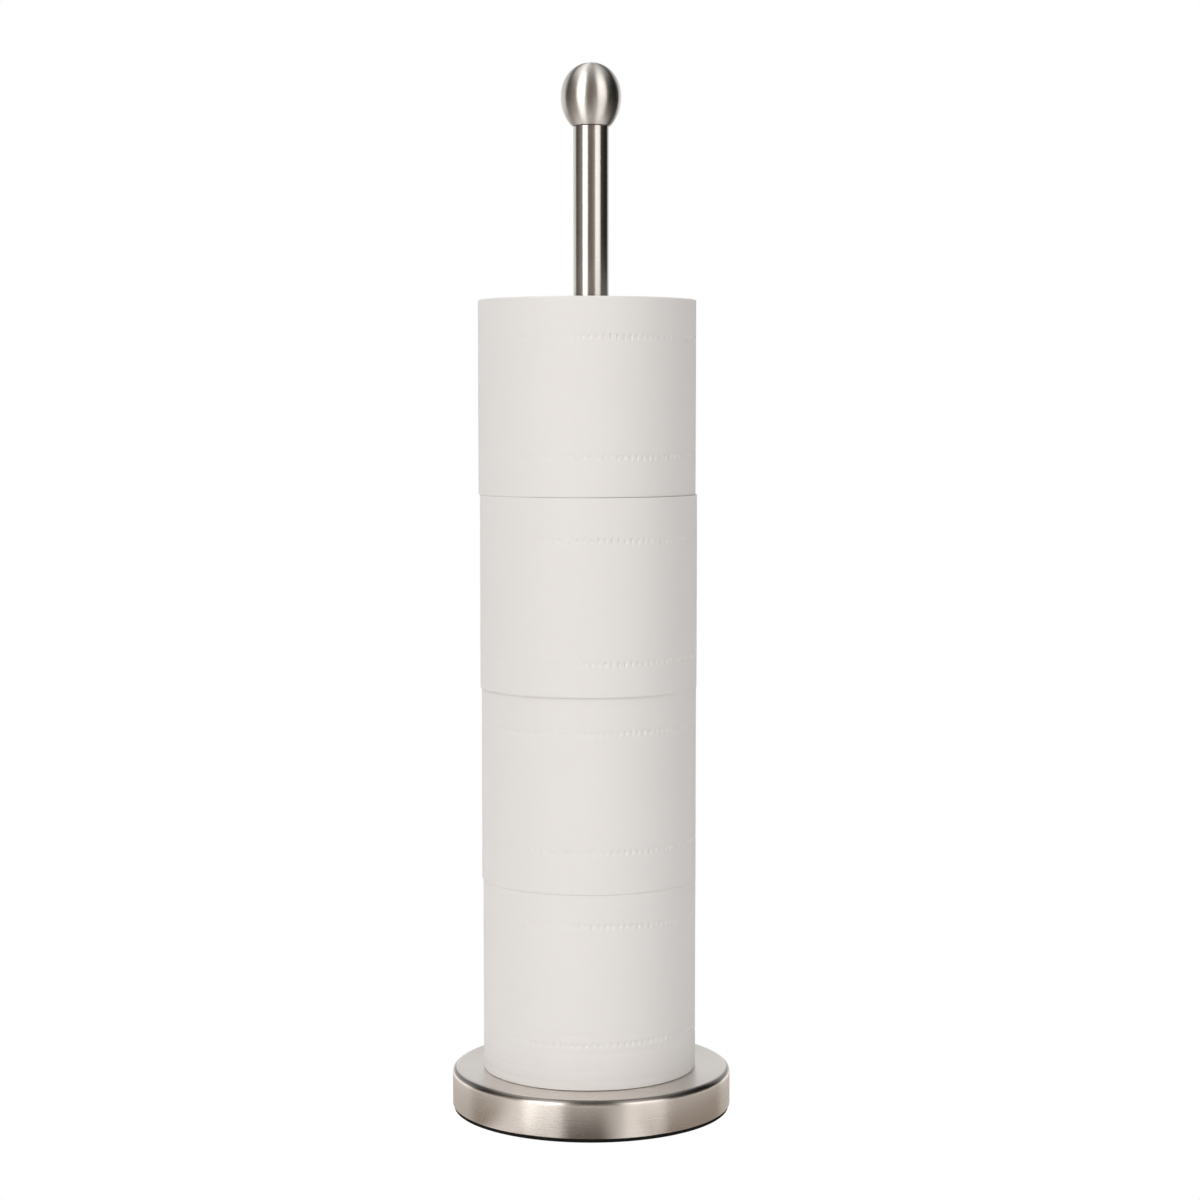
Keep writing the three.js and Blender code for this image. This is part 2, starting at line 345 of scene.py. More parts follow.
# Painted shade between the wound layers, and in their loose gaps below.
PAINTED_LAYER_SHADE = (0.74, 0.72, 0.69, 1)
PAINTED_GAP_SHADE = (0.50, 0.48, 0.45, 1)
BOARD_DARK = (0.36, 0.29, 0.21, 1)
BOARD_LIGHT = (0.50, 0.42, 0.32, 1)
BOARD_FLECK = (0.20, 0.15, 0.10, 1)
BOARD_SEAM = (0.22, 0.17, 0.12, 1)

CREPE_RIDGES = 700.0  # per metre round the roll
CREPE_BREAKS = 45.0  # per metre along it
SLIT_PITCH = 3.4 * MM  # from one slit of a tear line to the next
TEAR_HALF_WIDTH = 0.22 * MM
LAYERS = 2600.0  # wound layers per metre of radius, finer than real ones
LOOSE_LAYERS = 420.0
CORE_LEAD = 72 * MM  # height that one turn of the core's paper strip climbs


def painted_bend_shade_mask(tree, radius, height):
    """1 on the middle of the rounding between the base's plate and skirt, where a dark line is
    painted in as shade, in place of the dark surroundings that the bend reflects."""
    out = tree.minus(radius, BASE_RADIUS - EDGE_RADIUS)
    up = tree.minus(height, BASE_TOP - EDGE_RADIUS)
    tilt = tree.math("DEGREES", tree.math("ARCTAN2", out, up))
    return tree.times(tree.window(tilt, 16, 34, 56, 76), tree.math("GREATER_THAN", out, 0.0))


def brushed_steel(name, light, dark, roughness, anisotropy, breaks, painted_bend_shade=0.0):
    """Stainless steel brushed round the Z axis, with finger marks and fine scratches."""
    broad, fine = breaks
    material, tree, shader = surface(name, Metallic=1.0, Anisotropic=anisotropy)
    shader.inputs["Anisotropic Rotation"].default_value = 0.25
    place, x, y, radius, height = tree.around()
    along = tree.minus(height, radius)  # distance along the turned outline
    broad_place = tree.combine(tree.times(x, broad), tree.times(y, broad),
                               tree.times(along, BROAD_LINES))
    fine_place = tree.combine(tree.times(x, fine), tree.times(y, fine),
                              tree.times(along, FINE_LINES))
    bands = tree.noise(broad_place, detail=3.0, roughness=0.6)
    lines = tree.noise(fine_place, detail=2.0, roughness=0.7)
    streaks = tree.plus(tree.times(bands, BROAD_SHARE), tree.times(lines, 1 - BROAD_SHARE))
    marks = tree.remap(tree.noise(place, scale=28.0, detail=4.0, roughness=0.55), 0.42, 0.72)
    scratches = tree.noise(tree.scaled(place, (900.0, 70.0, 260.0)), detail=1.0)
    scratches = tree.remap(scratches, 0.72, 0.76)
    tone = tree.blend(tree.remap(streaks, 0.3, 0.7), dark, light)
    tone = tree.blend(tree.times(marks, 0.10), tone, dark)
    # Painted shade: a dark line on the base's bend, standing in for the dark surroundings it
    # reflects.
    if painted_bend_shade:
        tone = tree.blend(tree.times(painted_bend_shade_mask(tree, radius, height), painted_bend_shade), tone, PAINTED_BEND_SHADE_TONE)
    rough = tree.plus(tree.remap(streaks, 0.25, 0.75, roughness - 0.015, roughness + 0.02),
                      tree.times(marks, 0.035))
    rough = tree.plus(rough, tree.times(scratches, 0.012))
    tangent = tree.add("Tangent", direction_type="RADIAL", axis="Z").outputs[0]
    drive(tree, shader, Base_Color=tone, Roughness=rough, Tangent=tangent)
    bump(tree, shader, bands, 0.0005 * MM)
    return material


def zinc_plate():
    """Zinc-plated steel, bluish with faint yellow patches and a crystalline grain."""
    material, tree, shader = surface("zinc_plate", Metallic=1.0)
    place = tree.place()
    patches = tree.noise(place, scale=130.0, detail=3.0, roughness=0.6)
    grain = tree.noise(place, scale=1900.0, detail=2.0, roughness=0.6)
    tone = tree.blend(tree.remap(patches, 0.35, 0.7), ZINC_BLUE, ZINC_YELLOW)
    tone = tree.blend(tree.remap(grain, 0.3, 0.8), tone, ZINC_SHADE)
    rough = tree.remap(grain, 0.25, 0.75, 0.28, 0.5)
    drive(tree, shader, Base_Color=tone, Roughness=rough)
    bump(tree, shader, grain, 0.02 * MM)
    return material


def cast_iron():
    """Dark cast iron with a sandy skin and a few rusty specks."""
    material, tree, shader = surface("cast_iron", Metallic=0.85)
    place = tree.place()
    sand = tree.noise(place, scale=1400.0, detail=4.0, roughness=0.65)
    pits = tree.remap(tree.noise(place, scale=260.0), 0.28, 0.42)
    rust = tree.remap(tree.noise(place, scale=75.0, detail=5.0, roughness=0.7), 0.58, 0.72)
    tone = tree.blend(sand, IRON_DARK, IRON_LIGHT)
    tone = tree.blend(tree.times(rust, 0.5), tone, IRON_RUST)
    rough = tree.remap(sand, 0.2, 0.8, 0.55, 0.85)
    drive(tree, shader, Base_Color=tone, Roughness=rough)
    bump(tree, shader, tree.plus(sand, tree.times(pits, 0.8)), 0.12 * MM)
    return material


def moulded_plastic():
    """Black moulded plastic with a fine spark texture."""
    material, tree, shader = surface("moulded_plastic", Specular_IOR_Level=0.45)
    place = tree.place()
    grain = tree.noise(place, scale=2600.0)
    flow = tree.noise(tree.scaled(place, (30.0, 30.0, 90.0)), detail=3.0)
    tone = tree.blend(flow, PLASTIC_DARK, PLASTIC_LIGHT)
    rough = tree.remap(grain, 0.2, 0.8, 0.42, 0.6)
    drive(tree, shader, Base_Color=tone, Roughness=rough)
    bump(tree, shader, grain, 0.03 * MM)
    return material


def foam_rubber():
    """Black closed-cell foam with open pores and a little lint from the floor."""
    material, tree, shader = surface("foam_rubber", Specular_IOR_Level=0.15)
    place = tree.place()
    cells = tree.add("TexVoronoi", {"Vector": place, "Scale": 1500.0}).outputs["Distance"]
    pores = tree.remap(cells, 0.12, 0.45)
    wear = tree.noise(place, scale=45.0, detail=5.0, roughness=0.65)
    lint = tree.remap(tree.noise(tree.scaled(place, (700.0, 160.0, 300.0))), 0.69, 0.75)
    tone = tree.blend(tree.remap(wear, 0.35, 0.75), FOAM_DARK, FOAM_WORN)
    tone = tree.blend(tree.times(lint, 0.18), tone, LINT)
    rough = tree.remap(wear, 0.3, 0.8, 0.78, 0.95)
    drive(tree, shader, Base_Color=tone, Roughness=rough)
    bump(tree, shader, pores, 0.10 * MM)
    return material


def angle_from_front(tree, x, y):
    """Degrees round the axis from the front, -Y, anticlockwise seen from above."""
    return tree.math("DEGREES", tree.math("ARCTAN2", x, tree.times(y, -1.0)))


def tear_lines(tree, index, radius, angle, height):
    """1 in the slits of the roll's perforated tear lines."""
    slits = tree.remap(tree.math("FRACT", tree.times(height, 1 / SLIT_PITCH)), 0.30, 0.36)
    half = math.degrees(TEAR_HALF_WIDTH / radius)
    lines = 0.0
    for at in ROLL_DETAILS[index]["tears"]:
        off = tree.math("ABSOLUTE", tree.minus(angle, at))
        line = tree.remap(off, half * 0.5, half * 1.5, 1.0, 0.0)
        lines = tree.math("MAXIMUM", line, lines)
    return tree.times(lines, slits)


def tissue(index, centre, radius):
    """Two-ply tissue: fine crepe along the roll, soft fibres, and perforated tear lines."""
    material, tree, shader = surface(f"tissue_{index}", Roughness=0.92, Specular_IOR_Level=0.15,
                                     Sheen_Weight=0.12, Sheen_Roughness=0.6)
    place, x, y, _, height = tree.around(centre)
    ridges = radius * CREPE_RIDGES
    seed = 3.7 * index  # sets each roll's crepe apart from the others'
    crepe_place = tree.combine(tree.times(x, ridges), tree.times(y, ridges),
                               tree.plus(tree.times(height, CREPE_BREAKS), seed))
    crepe = tree.noise(crepe_place, roughness=0.55)
    fibre = tree.noise(place, scale=2300.0, roughness=0.6)
    cloud = tree.noise(place, scale=17.0 + index, detail=3.0)
    angle = angle_from_front(tree, x, y)
    tear = tear_lines(tree, index, radius, angle, height)
    tone = tree.blend(tree.remap(cloud, 0.3, 0.7), TISSUE_DARK, TISSUE_LIGHT)
    tone = tree.blend(tree.remap(crepe, 0.25, 0.75, 0.0, 0.22), TISSUE_LIGHT, tone)
    # Painted shade: the slits of the tear lines are darkened as if shade fell into them.
    tone = tree.blend(tree.times(tear, 0.28), tone, PAINTED_SLIT_SHADE)
    relief = tree.plus(tree.times(crepe, 0.8), tree.times(fibre, 0.35))
    relief = tree.minus(relief, tree.times(tear, 1.5))
    drive(tree, shader, Base_Color=tone)
    bump(tree, shader, relief, 0.018 * MM)
    return material


def wound_edge(index, centre):
    """The cut ends of the wound layers: hundreds of thin rings, with painted shade between them
    and deeper painted shade in the loose gaps.
    """
    material, tree, shader = surface(f"wound_edge_{index}", Roughness=0.95, Specular_IOR_Level=0.1)
    place, x, y, radius, _ = tree.around(centre)
    swirl = tree.combine(tree.times(x, 2.2), tree.times(y, 2.2), tree.times(radius, LAYERS))
    layers = tree.noise(swirl, detail=3.0, roughness=0.75)
    loose = tree.combine(tree.times(x, 0.8), tree.times(y, 0.8), tree.times(radius, LOOSE_LAYERS))
    gaps = tree.noise(loose, detail=3.0, roughness=0.6)
    fluff = tree.noise(place, scale=1500.0, detail=3.0, roughness=0.6)
    # Painted shade between the wound layers and in their loose gaps.
    tone = tree.blend(tree.remap(layers, 0.3, 0.65), PAINTED_LAYER_SHADE, TISSUE_LIGHT)
    tone = tree.blend(tree.remap(gaps, 0.30, 0.46, 0.45, 0.0), tone, PAINTED_GAP_SHADE)
    height = tree.plus(layers, tree.plus(tree.times(gaps, 0.8), tree.times(fluff, 0.4)))
    drive(tree, shader, Base_Color=tone)
    bump(tree, shader, height, 0.16 * MM)
    return material


def core_board(index, centre):
    """Grey-brown board wound in a spiral, with flecks of darker fibre."""
    material, tree, shader = surface(f"core_board_{index}", Roughness=0.9, Specular_IOR_Level=0.2)
    place, x, y, _, height = tree.around(centre)
    turns = tree.math("DIVIDE", angle_from_front(tree, x, y), 360.0)
    climb = tree.minus(tree.math("DIVIDE", height, CORE_LEAD), turns)
    across = tree.math("ABSOLUTE", tree.minus(tree.math("FRACT", climb), 0.5))
    seam = tree.remap(across, 0.004, 0.012, 1.0, 0.0)
    pulp = tree.noise(tree.scaled(place, (420.0, 420.0, 160.0)), detail=5.0, roughness=0.7)
    flecks = tree.remap(tree.noise(tree.scaled(place, (1500.0, 1500.0, 500.0))), 0.66, 0.72)
    tone = tree.blend(tree.remap(pulp, 0.3, 0.75), BOARD_DARK, BOARD_LIGHT)
    tone = tree.blend(tree.times(flecks, 0.45), tone, BOARD_FLECK)
    tone = tree.blend(tree.times(seam, 0.6), tone, BOARD_SEAM)
    drive(tree, shader, Base_Color=tone)
    bump(tree, shader, tree.minus(pulp, seam), 0.08 * MM)
    return material


# --- base ---


def build_cover(material):
    low, high = heights_of("base_cover")
    profile = soft_profile([
        (BASE_RADIUS, low, 0.35 * MM),
        (BASE_RADIUS, high, EDGE_RADIUS),
        (BOLT_HOLE, high, 0.2 * MM),
        (BOLT_HOLE, high - SHEET, 0.2 * MM),
        (BASE_RADIUS - SHEET, high - SHEET, EDGE_RADIUS - SHEET),
        (BASE_RADIUS - SHEET, low, 0.35 * MM),
    ], steps=10)
    add_turned("cover", profile, FINE, True, "base_cover", material)


def build_pad(material):
    """The pad has shallow grip grooves on its underside."""
    low, high = heights_of("base_pad")
    outer = radius_of("base_pad")
    depth = 0.35 * MM
    spacing = 6 * MM
    floor_half, mouth_half = 0.5 * MM, 0.9 * MM
    rounding = 0.15 * MM
    corners = [(ACCESS_RADIUS, high, 0.3 * MM), (ACCESS_RADIUS, low, 0.3 * MM)]
    for k in range(1, int((outer - ACCESS_RADIUS) / spacing)):
        r = ACCESS_RADIUS + k * spacing
        corners += [
            (r - mouth_half, low, rounding),
            (r - floor_half, low + depth, rounding),
            (r + floor_half, low + depth, rounding),
            (r + mouth_half, low, rounding),
        ]
    corners += [(outer, low, 0.4 * MM), (outer, high, 0.3 * MM)]
    profile = soft_profile(corners, steps=3)
    add_turned("grip_pad", profile, FINE, True, "base_pad", material)


def build_washer(material):
    low, high = heights_of("base_washer")
    outer = radius_of("base_washer")
    profile = soft_profile([
        (outer, low, 0.25 * MM),
        (outer, high, 0.5 * MM),
        (WASHER_HOLE, high, 0.3 * MM),
        (WASHER_HOLE, low, 0.15 * MM),
    ])
    add_turned("plain_washer", profile, SMALL, True, "base_washer", material)


THREAD_ROWS_PER_TURN = 8
THREAD_DEPTH = 0.54  # as a share of the pitch
THREAD_TIP = 1.0 * MM  # how much thinner the rod is across, past the thread's ends


def thread_rows(radius, pitch, bottom, top, columns):
    """Rows of a threaded rod whose crests run in a helix and fade out towards both ends."""
    rows = int((top - bottom) / pitch * THREAD_ROWS_PER_TURN)
    heights = np.linspace(bottom, top, rows + 1)[:, None]
    angles = column_angles(columns)[None, :]
    phase = (heights / pitch - angles / TURN) % 1.0
    depth = THREAD_DEPTH * pitch * np.abs(2 * phase - 1)
    fade = np.clip(np.minimum(heights - bottom, top - heights) / pitch, 0, 1)
    r = radius - depth * fade - (1 - fade) * THREAD_TIP / 2
    return place_round(r, angles, np.broadcast_to(heights, r.shape))


def disc_rows(radii, height, columns):
    return spin(np.array([[r, height] for r in radii]), columns)


def build_bolt(material):
    """Hexagon bolt: head chamfered at 30 degrees, a washer face under it and a rolled thread."""
    low, high = heights_of("base_bolt")
    columns = SMALL
    angles = column_angles(columns)
    # The CAD head has corners every 60 degrees from the +Y axis.
    from_flat = (angles - math.pi / 2) % (TURN / 6) - TURN / 12
    flat = HEAD_FLATS / 2
    hexagon = flat / np.cos(from_flat)
    face = 0.94 * flat  # where the chamfer starts
    collar = 0.97 * flat  # the washer face
    bevel = 0.3 * MM
    slope = math.tan(math.radians(30))
    chamfer = (flat / math.cos(math.pi / 6) - face) * slope
    chamfer_steps = 8
    top = low + HEAD_HEIGHT
    rings = []
    for k in range(1, chamfer_steps + 1):
        z = low + chamfer * k / chamfer_steps
        rings.append((np.minimum(hexagon, face + (z - low) / slope), z))
    rings += [
        (hexagon, top - bevel - 0.05 * MM),
        (hexagon * 0.995, top - bevel),
        (np.full(columns, collar), top - bevel),
        (np.full(columns, collar * 0.995), top),
        (np.full(columns, M8_RADIUS * 1.08), top),
        (np.full(columns, M8_RADIUS), top + bevel),
    ]
    rows = [disc_rows([face * 0.3, face * 0.7, face * 0.99, face], low, columns)]
    rows += [place_round(radius, angles, np.full(columns, z))[None] for radius, z in rings]
    rows.append(thread_rows(M8_RADIUS, M8_PITCH, top + 2 * MM, high - 0.4 * MM, columns))
    rows.append(disc_rows([M8_RADIUS - M8_POINT, END_RADIUS], high, columns))
    mesh = grid_mesh("hex_bolt", np.concatenate(rows), False)
    add_piece("hex_bolt", mesh, "stand", ["base_bolt"], material)


# --- pole ---


def build_tube(name, node, material):
    """Drawn tube with its ends turned square and deburred."""
    low, high = heights_of(node)
    inner = POLE_RADIUS - POLE_WALL
    profile = soft_profile([
        (POLE_RADIUS, low, 0.3 * MM),
        (POLE_RADIUS, high, 0.3 * MM),
        (inner, high, 0.2 * MM),
        (inner, low, 0.2 * MM),
    ], steps=5)
    add_turned(name, profile, FINE, True, node, material)


def build_joint_stud(material):
    """The plug at the foot of the upper tube, and the threaded stud below it."""
    low, high = heights_of("pole_joint_stud")
    plug = radius_of("pole_joint_stud")
    shoulder = high - PLUG_LENGTH
    chamfer = 0.5 * MM
    rows = [
        disc_rows([END_RADIUS, M8_RADIUS - M8_POINT], low, SMALL),
        thread_rows(M8_RADIUS, M8_PITCH, low + 0.4 * MM, shoulder - 1.5 * MM, SMALL),
        disc_rows([M8_RADIUS * 0.98, plug - chamfer], shoulder, SMALL),
        disc_rows([plug], shoulder + chamfer, SMALL),
        disc_rows([plug], high - chamfer, SMALL),
        disc_rows([plug - chamfer, END_RADIUS], high, SMALL),
    ]
    mesh = grid_mesh("joint_stud", np.concatenate(rows), False)
    add_piece("joint_stud", mesh, "stand", ["pole_joint_stud"], material)


# --- knob ---

KNOB_FULLNESS = 2.09  # of its upper half, where 2 is an ellipse
KNOB_RIM_ANGLE = 3  # degrees above the neck that are left to the rim's rounding


def build_knob(material):
    """Pressed hollow egg whose rim is turned in at the neck."""
    bottom, top = heights_of("knob_shell")
    level = top - KNOB_RISE
    across = radius_of("knob_shell")
    inner = across - KNOB_WALL
    drop = KNOB_DROP - KNOB_WALL
    neck = KNOB_RIM_ANGLE - math.degrees(math.acos(KNOB_NECK / across))
    turn_in = bottom + 2 * KNOB_WALL
    lowest = math.degrees(math.asin((turn_in - level) / drop))
    rim = soft_profile([
        (inner * math.cos(math.radians(lowest)) - 0.3 * MM, turn_in, 0),
        (KNOB_BORE, turn_in, 0.3 * MM),
        (KNOB_BORE, bottom, 0.25 * MM),
        (KNOB_NECK, bottom, 0.25 * MM),
        (*ellipse(level, across, KNOB_DROP, neck, 0, 1)[0], 0),
    ])
    profile = np.concatenate([
        ellipse(level, inner, KNOB_RISE - KNOB_WALL, 88, 0, 24),
        ellipse(level, inner, drop, 0, lowest, 18)[1:],
        rim,
        ellipse(level, across, KNOB_DROP, neck, 0, 40)[1:],
        ellipse(level, across, KNOB_RISE, 0, 88.5, 48, KNOB_FULLNESS)[1:],
    ])
    add_turned("knob", profile, FINE, False, "knob_shell", material)


def build_knob_stud(material):
    low, high = heights_of("knob_stud")
    rows = [
        disc_rows([0.8 * MM, M6_RADIUS - M6_POINT], low, SMALL),
        thread_rows(M6_RADIUS, M6_PITCH, low + 0.3 * MM, high - 0.3 * MM, SMALL),
        disc_rows([M6_RADIUS - M6_POINT, 0.8 * MM], high, SMALL),
    ]
    mesh = grid_mesh("knob_rod", np.concatenate(rows), False)
    add_piece("knob_rod", mesh, "stand", ["knob_stud"], material)


# --- rolls ---

DASHES = 102  # embossed dashes once round a roll
COLUMNS_PER_DASH = 8
ROLL_COLUMNS = DASHES * COLUMNS_PER_DASH
DASH_DEPTH = 0.55 * MM
DASH_HALF_HEIGHT = 1.35 * MM
TAIL_STEP = 0.32 * MM
DASH_CLEAREST = 44.0  # degrees anticlockwise from the front, where the dashes are pressed deepest
ROW_DEPTH = 0.09 * MM  # of the shallow line that runs through the dashes
JOINT_GAP = 0.06 * MM  # left between the tissue of one roll and the next
CORE_GAP = 0.3 * MM  # from the core to the tissue, as in the CAD
BACK_EDGE = 0.6 * MM  # the edges are rounder at the back
END_DIP = 0.16 * MM  # mean depth of the hollows in a roll's ends
BORE_LIP = 0.3 * MM
LEVEL_STEP = 0.45 * MM  # between the mesh rows across an embossed row
LEAST_STEP = 0.3 * MM
CORE_COLUMNS = 2 * SMALL
CORE_WALL = 0.8 * MM

# Per roll, from the top: rounding of its lower and upper edge, heights of its embossed rows, and
# creases as (height, depth, half width). All in millimetres, heights above the roll's foot.
# Then where its loose end and its tear lines lie, in degrees anticlockwise from the front.
ROLL_DETAILS = {
    1: {
        "edges": (0.32, 0.9),
        "rows": (20.5, 82.2),
        "creases": ((4.0, 0.05, 0.5), (98.6, 0.05, 0.5)),
        "tail": 163.0, "tears": (78.0, -80.0),
    },
    2: {
        "edges": (0.12, 0.20),
        "rows": (17.2, 80.5),
        "creases": ((3.2, 0.05, 0.5), (99.0, 0.05, 0.4)),
        "tail": -151.0, "tears": (103.0, -86.0),
    },
    3: {
        "edges": (0.12, 0.12),
        "rows": (22.0, 83.9),
        "creases": ((4.4, 0.05, 0.5), (97.5, 0.05, 0.6)),
        "tail": 128.0, "tears": (76.0, -112.0),
    },
    4: {
        "edges": (0.35, 0.12),
        "rows": (24.0, 85.7),
        "creases": ((4.6, 0.16, 0.6), (10.0, 0.07, 0.8), (13.0, 0.05, 0.7), (19.5, 0.22, 0.9),
                    (29.5, 0.12, 0.8), (87.5, 0.12, 0.8), (99.5, 0.14, 0.7)),
        "tail": -176.0, "tears": (91.0, -77.0),
    },
}


def waves(rng, angles, heights, count, lowest, highest, climb):
    """Smooth random relief between about -1 and 1 that closes on itself round the roll."""
    total = np.zeros(np.broadcast(angles, heights).shape)
    for _ in range(count):
        around = rng.randint(lowest, highest)
        up = rng.uniform(-climb, climb)
        total = total + np.cos(around * angles + up * heights + rng.uniform(0, TURN))
    return total / math.sqrt(count)


def wall_levels(height, edge, details):
    """Heights of the rows on the outer wall, close together where something is embossed."""
    levels = list(np.linspace(edge, height - edge, 26))
    for row in details["rows"]:
        levels += [row * MM + k * LEVEL_STEP for k in range(-6, 7)]
    for at, _, half in details["creases"]:
        levels += [(at + k * half) * MM for k in (-2, -1, 0, 1, 2)]
    levels = sorted(levels)
    kept = [levels[0]]
    for level in levels[1:-1]:
        if level - kept[-1] > LEAST_STEP and levels[-1] - level > LEAST_STEP:
            kept.append(level)
    return np.array(kept + [levels[-1]])


def wall_relief(rng, details, radius, angles, levels, height):
    """How far the outer wall stands out or in, for each level and angle."""
    heights = levels[:, None]
    relief = 0.10 * MM * waves(rng, angles, heights, 10, 2, 7, 30)
    relief += 0.025 * MM * waves(rng, angles, heights, 12, 8, 26, 90)
    dash = np.clip((np.cos(DASHES * angles) - 0.05) / 0.75, 0, 1)
    dash = dash * dash * (3 - 2 * dash)
    clearest = np.clip(np.cos(angles - math.radians(DASH_CLEAREST - 90)), 0, 1) ** 2
    behind = np.clip(np.sin(angles) * 1.5, 0, 1)
    for row in details["rows"]:
        wander = 0.35 * MM * waves(rng, angles, 0.0, 3, 1, 4, 0)
        off = heights - row * MM - wander
        strength = 0.16 + 0.80 * clearest + 0.45 * behind
        strength = np.clip(strength + 0.22 * waves(rng, angles, 0.0, 4, 2, 9, 0), 0.05, 1.2)
        relief -= DASH_DEPTH * strength * dash * np.exp(-(off / DASH_HALF_HEIGHT) ** 4)
        relief -= ROW_DEPTH * np.exp(-(off / (0.5 * MM)) ** 2)
    for at, depth, half in details["creases"]:
        wander = 0.4 * MM * waves(rng, angles, 0.0, 3, 1, 3, 0)
        strength = np.clip(0.8 + 0.4 * waves(rng, angles, 0.0, 3, 1, 4, 0), 0, 1.4)
        off = heights - at * MM - wander
        relief -= depth * MM * strength * np.exp(-(off / (half * MM)) ** 2)
    # The loose end: a thin step with a ragged torn edge, a little lifted.
    tear = math.radians(details["tail"] - 90) + 0.012 * np.sin(heights / height * 2.2 + 0.4)
    ragged = 0.35 * MM / radius * np.sin(heights * TURN / (2.3 * MM))
    past = (angles - tear - ragged) % TURN
    lift = np.exp(-past / 0.10)
    relief += TAIL_STEP * (np.exp(-past / 1.2) + 0.8 * lift)
    return relief - TAIL_STEP * 0.9


def roll_points(index, radius, bore, bottom, height, centre):
    """The wound tissue's surface: wall, upper end, bore and lower end, as one closed grid. Then
    for each row of its faces, whether it shows the layers' cut ends."""
    rng = random.Random(40 + index)
    details = ROLL_DETAILS[index]
    angles = column_angles(ROLL_COLUMNS)[None, :]
    low_edge, high_edge = (
        size * MM * (1 + 0.25 * waves(rng, angles, 0.0, 5, 1, 11, 0)) for size in details["edges"]
    )
    low_edge *= 1 + 0.75 * np.cos(angles - math.radians(DASH_CLEAREST - 90))
    behind = np.clip(np.sin(angles) * 1.25 - 0.25, 0, 1)
    low_edge += BACK_EDGE * behind
    high_edge = np.maximum(high_edge, BACK_EDGE * behind)
    levels = wall_levels(height, 1.3 * MM, details)
    wall = radius + wall_relief(rng, details, radius, angles, levels, height)
    heights = np.broadcast_to(levels[:, None], wall.shape)
    quarter = np.radians(np.linspace(8, 90, 6))[:, None]
    upper_r = wall[-1:] - high_edge * (1 - np.cos(quarter))
    upper_z = height - high_edge * (1 - np.sin(quarter))
    lower_r = (wall[:1] - low_edge * (1 - np.cos(quarter)))[::-1]
    lower_z = (low_edge * (1 - np.sin(quarter)))[::-1]
    share = np.linspace(0, 1, 15)[1:, None]
    end_r = upper_r[-1:] + (bore + BORE_LIP - upper_r[-1:]) * share
    low_r = lower_r[:1] + (bore + BORE_LIP - lower_r[:1]) * share
    fade = np.clip(share * 12, 0, 1) * np.clip((1 - share) * 12, 0, 1)
    upper_dip, lower_dip = (
        np.clip(END_DIP * (1 + waves(rng, angles, r, 8, 0, 3, 2600) * 0.5) * fade, 0, None)
        for r in (end_r, low_r)
    )
    flat = np.ones_like(angles)
    r = np.concatenate([wall, upper_r, end_r, bore * flat, bore * flat, low_r[::-1], lower_r])
    z = np.concatenate([heights, upper_z * flat, height - upper_dip, (height - BORE_LIP) * flat,
                        BORE_LIP * flat, lower_dip[::-1], lower_z * flat])
    points = place_round(r, angles, bottom + z, centre)
    ends = np.zeros(len(r), bool)
    first = len(levels) + len(quarter)
    ends[first - 1:len(r) - len(quarter)] = True
    return points, ends


def build_roll(index):
    """The tissue and the core of one roll, each on its own body."""
    paper = f"roll_{index}_paper"
    low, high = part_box(paper)
    centre = ((low.x + high.x) / 2, (low.y + high.y) / 2, 0.0)
    radius = radius_of(paper)
    core_radius = radius_of(f"roll_{index}_core")
    height = high.z - low.z
    swell = (ROLL_PITCH - height - JOINT_GAP) / 2
    points, ends = roll_points(index, radius, core_radius + CORE_GAP, low.z - swell,
                               height + 2 * swell, centre)
    mesh = grid_mesh(f"tissue_{index}", points, True)
    material = tissue(index, (centre[0], centre[1], low.z), radius)
    add_piece(f"tissue_{index}", mesh, f"roll_{index}_tissue", [paper], material)
    mesh.materials.append(wound_edge(index, centre))
    rows = np.repeat(ends, points.shape[1]).astype(np.int32)
    mesh.polygons.foreach_set("material_index", rows)
    build_core(index, centre, core_radius, low.z, height)


def build_core(index, centre, radius, bottom, height):
    """Spiral-wound board tube: the edges of its strip show as a shallow helical step."""
    rng = random.Random(80 + index)
    inner = radius - CORE_WALL
    angles = column_angles(CORE_COLUMNS)[None, :]
    edge = 0.15 * MM
    levels = np.linspace(edge, height - edge, 72)[:, None]
    climb = (levels / CORE_LEAD - angles / TURN) % 1.0
    step = 0.10 * MM * np.clip((climb - 0.5) * 60, 0, 1) * np.clip((1 - climb) * 3, 0, 1)
    dent = 0.05 * MM * waves(rng, angles, levels, 6, 2, 5, 60)
    inside = (inner + 0.06 * MM - step + dent)[::-1]
    outside = np.full_like(inside, radius - 0.02 * MM)
    flat = np.ones_like(angles)
    end = [(radius - edge) * flat, (inner + 0.2 * MM) * flat]
    r = np.concatenate([outside[:1], outside[-1:], *end, inside, *reversed(end)])
    z = np.concatenate([levels[:1] * flat, levels[-1:] * flat, height * flat, height * flat,
                        levels[::-1] * flat, 0 * flat, 0 * flat])
    mesh = grid_mesh(f"core_{index}", place_round(r, angles, bottom + z, centre), True)
    material = core_board(index, (centre[0], centre[1], bottom))
    add_piece(f"core_{index}", mesh, f"roll_{index}_tube", [f"roll_{index}_core"], material)


# --- studio ---

CAMERA_DISTANCE = 1.3701
CAMERA_HEIGHT = 0.3783
CAMERA_TILT = 4.321  # degrees below the horizon
CAMERA_TURN = -0.1977
CAMERA_LENS = 76.94

# Each softbox: azimuth and width in degrees seen from the pole, then radiance and colour.
STRIPS = {
    "left_softbox": (-39.6, 32.5, 2.74, (1.0, 0.99, 0.97)),
    "right_softbox": (44.3, 36.6, 1.64, (1.0, 0.985, 0.965)),
}
STRIP_DISTANCE = 2.4
STRIP_HEIGHT = 4.8
STRIP_BOTTOM = 0.25

